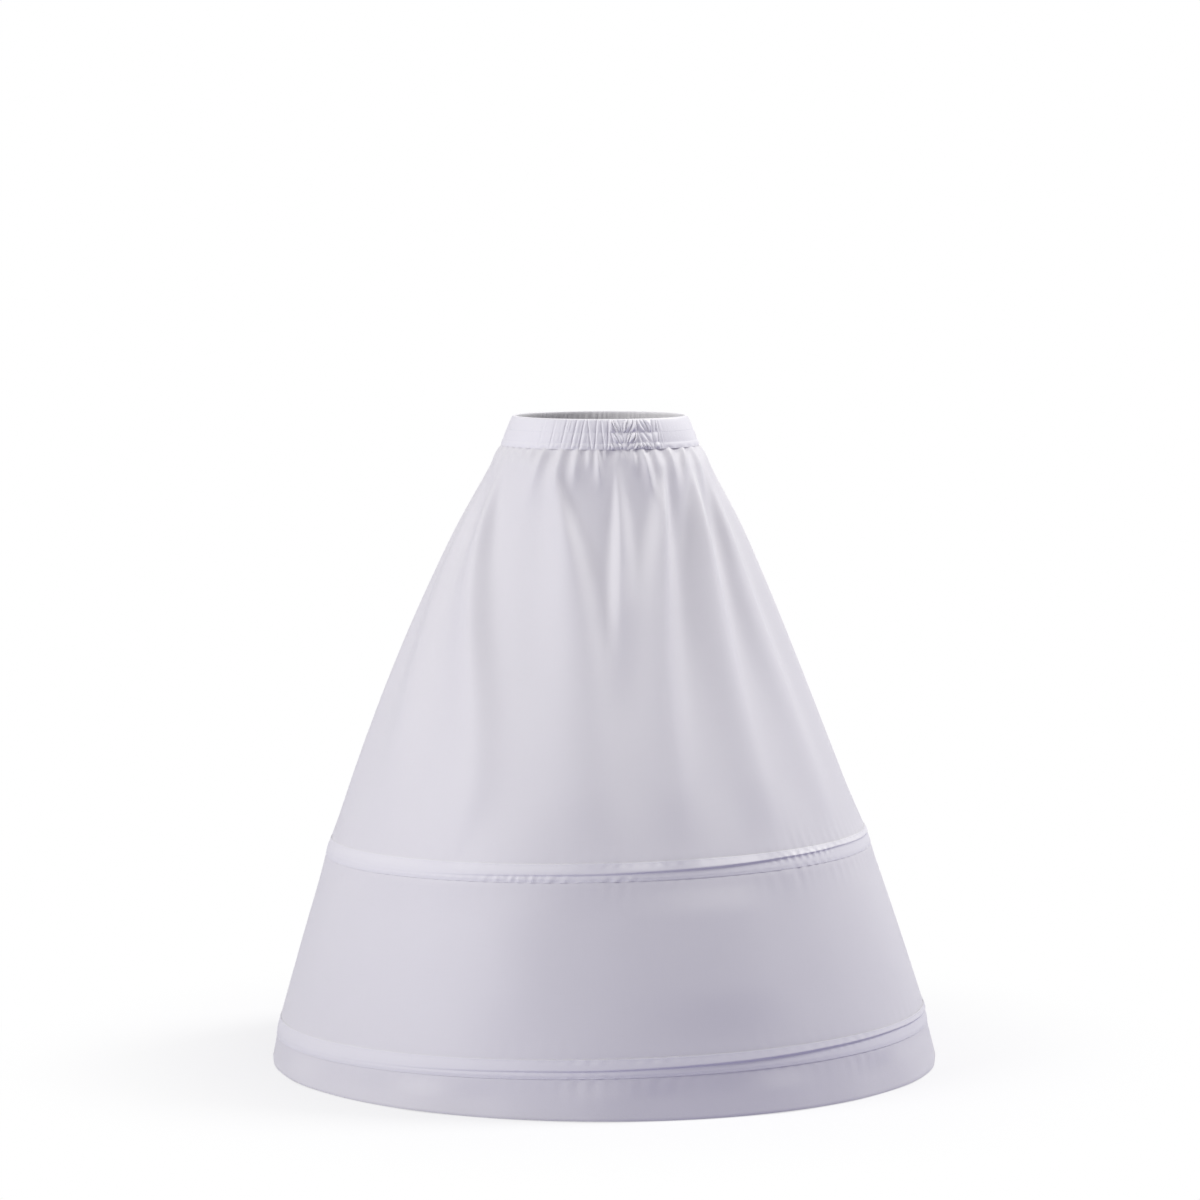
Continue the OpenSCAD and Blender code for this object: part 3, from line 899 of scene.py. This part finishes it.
class PETTICOAT_OT_hem_band(bpy.types.Operator):
    """Band below the lower hoop, with its hem turned up on the inside"""

    bl_idname = "petticoat.hem_band"
    bl_label = "Hem band"

    def execute(self, context):
        sizes, folds, form = settings()
        drape = Drape(folds)
        top = sizes.lower_hoop_drop + SEAM_GAP / 2
        width, height = 1.48, 0.07
        for name, first, shift in PANELS:
            panel, s, t = cloth_grid(f"hem_band_{name}_cloth", columns=240, rows=32)
            angle = first + math.pi * s
            hem = self.hem_drop(angle, form)
            # From the edge of the turned-up hem, round the fold, up to the tape
            turn_share, fold_share = 0.26, 0.08
            inside = np.clip(t / turn_share, 0, 1)
            bend = np.clip((t - turn_share) / fold_share, 0, 1) * math.pi
            rise = np.clip((t - turn_share - fold_share) / (1 - turn_share - fold_share), 0, 1)
            fold_r = 0.0009
            drop = np.where(
                t < turn_share, hem - fold_r - (1 - inside) * sizes.hem_turn_h,
                np.where(
                    rise > 0, hem - fold_r + (top - hem + fold_r) * rise,
                    hem - fold_r + fold_r * np.sin(bend)))
            out = -fold_r * (1 + np.cos(bend))
            below = drop - sizes.lower_hoop_drop - sizes.casing_w / 2 + sizes.casing_lift
            puckers = drape.tape_puckers(angle + LOWER_TURN, below) * eased(below / 0.006) * 0.8
            out += puckers + flare_below(angle, below)
            out += self.wave(angle) * eased(below / 0.03)
            points = form.tier_point(angle, drop, out)
            hang_panel(panel, points, shift, width * s, height * t)
            done(panel, "skirt_cloth", f"hem_band_{name}")
        return {"FINISHED"}

    @staticmethod
    def wave(angle):
        """How far the free edge waves out."""
        return 0.0012 * np.sin(11 * angle + 0.7 * np.sin(3 * angle)) + 0.0006 * np.sin(23 * angle)

    @staticmethod
    def hem_drop(angle, form):
        """Drop down the leaning side at which the hem is level."""
        level_z = -form.sizes.skirt_h
        drop = np.full_like(angle, form.sizes.skirt_h)
        for _ in range(12):
            drop += form.tier_point(angle, drop, 0 * angle)[:, 2] - level_z
        return drop


class PETTICOAT_OT_casings(bpy.types.Operator):
    """Tapes sewn round the cloth over the two hoops"""

    bl_idname = "petticoat.casings"
    bl_label = "Hoop tapes"

    def execute(self, context):
        sizes, folds, form = settings()
        drape = Drape(folds)
        for name, lower in TAPES:
            drop = getattr(sizes, f"{name}_hoop_drop")
            tape, s, t = cloth_grid(f"{name}_casing_tape", columns=1300, rows=TAPE_ROWS)
            angle = math.tau * s
            along = tape_rows(angle, 1 - t, sizes) - sizes.casing_w / 2 - sizes.casing_lift
            out = tape_face(angle, along, sizes, drape, lower)
            around = math.tau * float(form.radius(drop))
            hang(tape, form.casing_point(drop, angle, along, out), around * s, along)
            close_ring(tape)
            thicken(tape, sizes.tape_t, finish_for("casing tape"), crease=40)
            done(tape, "casing_tape", f"{name}_hoop_casing")
        return {"FINISHED"}


class PETTICOAT_OT_stitching(bpy.types.Operator):
    """Rows of stitches along the tapes, the waistband and the hem"""

    bl_idname = "petticoat.stitching"
    bl_label = "Stitching"

    def execute(self, context):
        sizes, folds, form = settings()
        drape = Drape(folds)
        pitch = sizes.stitch_pitch
        # Length, width and height of a stitch
        size = (pitch * 0.78, 0.00055, 0.0005)
        thread = finish_for("thread")
        for name, lower in TAPES:
            drop = getattr(sizes, f"{name}_hoop_drop")
            rows = []
            for side in (-1, 1):
                along = side * (sizes.casing_w / 2 - sizes.casing_lip * 0.55) - sizes.casing_lift

                def on_tape(angle, out, along=along, drop=drop, lower=lower):
                    line = np.full_like(angle, along)
                    face = tape_face(angle, line, sizes, drape, lower)
                    return form.casing_point(drop, angle, line, face + out)

                rows.append(stitch_row(on_tape, math.tau * float(form.radius(drop)), pitch))
            seam = sew_rows(f"{name}_casing_stitches", rows, size, thread)
            done(seam, "casing_tape")

        ruching = Ruching(sizes, folds)
        rows = []
        for drop in (sizes.stitch_drop, sizes.edge_stitch_drop):
            def on_band(angle, out, drop=drop):
                line = np.full_like(angle, drop)
                return form.band_point(angle, line, out + ruching.out(angle, line) + 0.0001)

            around = math.tau * form.band_half_w(drop) * OVAL_GIRTH
            rows.append(stitch_row(on_band, around, pitch))
        seam = sew_rows("waistband_stitches", rows, size, thread)
        done(seam, "skirt_cloth")

        def on_hem(angle, out):
            hem = PETTICOAT_OT_hem_band.hem_drop(angle, form)
            wave = PETTICOAT_OT_hem_band.wave(angle)
            return form.tier_point(angle, hem - sizes.hem_turn_h + 0.002, wave + out)

        row = stitch_row(on_hem, math.tau * sizes.hem_r, pitch)
        seam = sew_rows("hem_stitches", [row], size, thread)
        done(seam, "skirt_cloth")
        return {"FINISHED"}


class PETTICOAT_OT_inner_parts(bpy.types.Operator):
    """Finishes of the elastics, hoops and sleeves inside the cloth"""

    bl_idname = "petticoat.inner_parts"
    bl_label = "Inner parts"

    def execute(self, context):
        finishes = {
            "waist elastic": ("waist_elastic_upper", "waist_elastic_lower"),
            "hoop boning": ("upper_hoop", "lower_hoop"),
            "joining sleeve": ("upper_hoop_joiner", "lower_hoop_joiner"),
        }
        for finish, names in finishes.items():
            for name in names:
                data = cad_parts[name].data
                data.materials.clear()
                data.materials.append(finish_for(finish))
        return {"FINISHED"}


# Stage

FLOOR_Z = -0.9240
# Distances from the middle of the floor at which it begins to fade to white and is white
FADE_FROM, FADE_TO = 0.62, 1.3
CAMERA_PLACE = (0, -7.0, 0.421)
CAMERA_AIM = (0, 0, -0.265)
LENS_MM = 147.56
LAMP_AIM = (0, 0, -0.45)
LAMP_DISTANCE = 4.0


def seen_rays(tree):
    """1 for what is seen, straight or in a gloss, and 0 for what lights the pieces."""
    rays = node(tree, "ShaderNodeLightPath").outputs
    indirect = calc(tree, "MAXIMUM", rays["Is Glossy Ray"], rays["Is Transmission Ray"])
    return calc(tree, "MAXIMUM", rays["Is Camera Ray"], indirect)


class PETTICOAT_OT_stage(bpy.types.Operator):
    """Pale floor, soft light and the camera"""

    bl_idname = "petticoat.stage"
    bl_label = "Stage"

    def execute(self, context):
        scene = context.scene
        stage = scene.petticoat_stage
        scene.view_settings.view_transform = "Standard"
        self.floor(stage)
        self.world(scene, stage)
        self.lamp("Left light", stage.left, azimuth=-60, elevation=30, size=3.0)
        self.lamp("Right light", stage.right, azimuth=105, elevation=48, size=1.4)
        lens = bpy.data.cameras.new("Camera")
        lens.lens = LENS_MM
        lens.clip_end = 100
        camera = bpy.data.objects.new("Camera", lens)
        scene.collection.objects.link(camera)
        camera.location = CAMERA_PLACE
        aim(camera, CAMERA_AIM)
        scene.camera = camera
        return {"FINISHED"}

    @staticmethod
    def floor(stage):
        bpy.ops.object.select_all(action="DESELECT")
        bpy.ops.mesh.primitive_circle_add(
            vertices=96, radius=9, fill_type="NGON", location=(0, 0, 0))
        floor = bpy.context.object
        floor.name = "floor"
        for vertex in floor.data.vertices:
            vertex.co.z = FLOOR_Z
        material = bpy.data.materials.new("pale floor")
        material.use_nodes = True
        tree = material.node_tree
        tree.nodes.remove(tree.nodes["Principled BSDF"])
        dim = node(tree, "ShaderNodeBsdfDiffuse", {"Color": (*stage.bounce, 1)}).outputs[0]
        pale = node(tree, "ShaderNodeBsdfDiffuse", {"Color": (*stage.floor, 1)}).outputs[0]
        glow = node(
            tree, "ShaderNodeEmission", {"Color": (1, 1, 1, 1), "Strength": 1.0}).outputs[0]
        place = node(tree, "ShaderNodeTexCoord").outputs["Object"]
        far = node(tree, "ShaderNodeVectorMath", {0: place}, operation="LENGTH").outputs["Value"]
        fade = node(
            tree, "ShaderNodeMapRange", {"Value": far, "From Min": FADE_FROM, "From Max": FADE_TO},
            interpolation_type="SMOOTHSTEP").outputs[0]
        shown = node(tree, "ShaderNodeMixShader", {0: fade, 1: pale, 2: glow}).outputs[0]
        mixed = node(
            tree, "ShaderNodeMixShader", {0: seen_rays(tree), 1: dim, 2: shown}).outputs[0]
        tree.links.new(mixed, tree.nodes["Material Output"].inputs["Surface"])
        floor.data.materials.append(material)

    @staticmethod
    def world(scene, stage):
        world = bpy.data.worlds.new("Studio")
        scene.world = world
        world.use_nodes = True
        tree = world.node_tree
        soft = node(
            tree, "ShaderNodeBackground",
            {"Color": (*stage.sky, 1), "Strength": stage.ambient}).outputs[0]
        white = node(
            tree, "ShaderNodeBackground", {"Color": (1, 1, 1, 1), "Strength": 1.0}).outputs[0]
        mixed = node(
            tree, "ShaderNodeMixShader", {0: seen_rays(tree), 1: soft, 2: white}).outputs[0]
        tree.links.new(mixed, tree.nodes["World Output"].inputs["Surface"])

    @staticmethod
    def lamp(name, strength, azimuth, elevation, size):
        """Broad light at degrees to the right of the front and above the level of its target."""
        data = bpy.data.lights.new(name, "AREA")
        data.shape = "DISK"
        data.size = size
        data.energy = strength * math.pi ** 2 * LAMP_DISTANCE ** 2
        lamp = bpy.data.objects.new(name, data)
        bpy.context.scene.collection.objects.link(lamp)
        a, e = math.radians(azimuth), math.radians(elevation)
        target = Vector(LAMP_AIM)
        lamp.location = target + LAMP_DISTANCE * Vector((
            math.sin(a) * math.cos(e), -math.cos(a) * math.cos(e), math.sin(e)))
        aim(lamp, target)


def aim(obj, target):
    obj.rotation_euler = (Vector(target) - obj.location).to_track_quat("-Z", "Y").to_euler()


OPERATORS = (
    PETTICOAT_OT_waistband,
    PETTICOAT_OT_upper_skirt,
    PETTICOAT_OT_lower_skirt,
    PETTICOAT_OT_hem_band,
    PETTICOAT_OT_casings,
    PETTICOAT_OT_stitching,
    PETTICOAT_OT_inner_parts,
    PETTICOAT_OT_stage,
)
GROUPS = {
    "petticoat_sizes": PetticoatSizes,
    "petticoat_folds": PetticoatFolds,
    "petticoat_look": PetticoatLook,
    "petticoat_stage": PetticoatStage,
}


class PETTICOAT_PT_panel(bpy.types.Panel):
    """Sizes, looks and pieces of the petticoat"""

    bl_idname = "PETTICOAT_PT_panel"
    bl_label = "Hooped petticoat"
    bl_space_type = "VIEW_3D"
    bl_region_type = "UI"
    bl_category = "Petticoat"

    def draw(self, context):
        for name, group in GROUPS.items():
            box = self.layout.box()
            for key in group.__annotations__:
                box.prop(getattr(context.scene, name), key)
        for operator in OPERATORS:
            self.layout.operator(operator.bl_idname)


CLASSES = (*GROUPS.values(), *OPERATORS, PETTICOAT_PT_panel)


def register():
    for cls in CLASSES:
        bpy.utils.register_class(cls)
    for name, group in GROUPS.items():
        setattr(bpy.types.Scene, name, PointerProperty(type=group))


def unregister():
    for name in GROUPS:
        delattr(bpy.types.Scene, name)
    for cls in reversed(CLASSES):
        bpy.utils.unregister_class(cls)


def main():
    register()
    for operator in OPERATORS:
        family, name = operator.bl_idname.split(".")
        getattr(getattr(bpy.ops, family), name)()


if __name__ == "__main__":
    main()
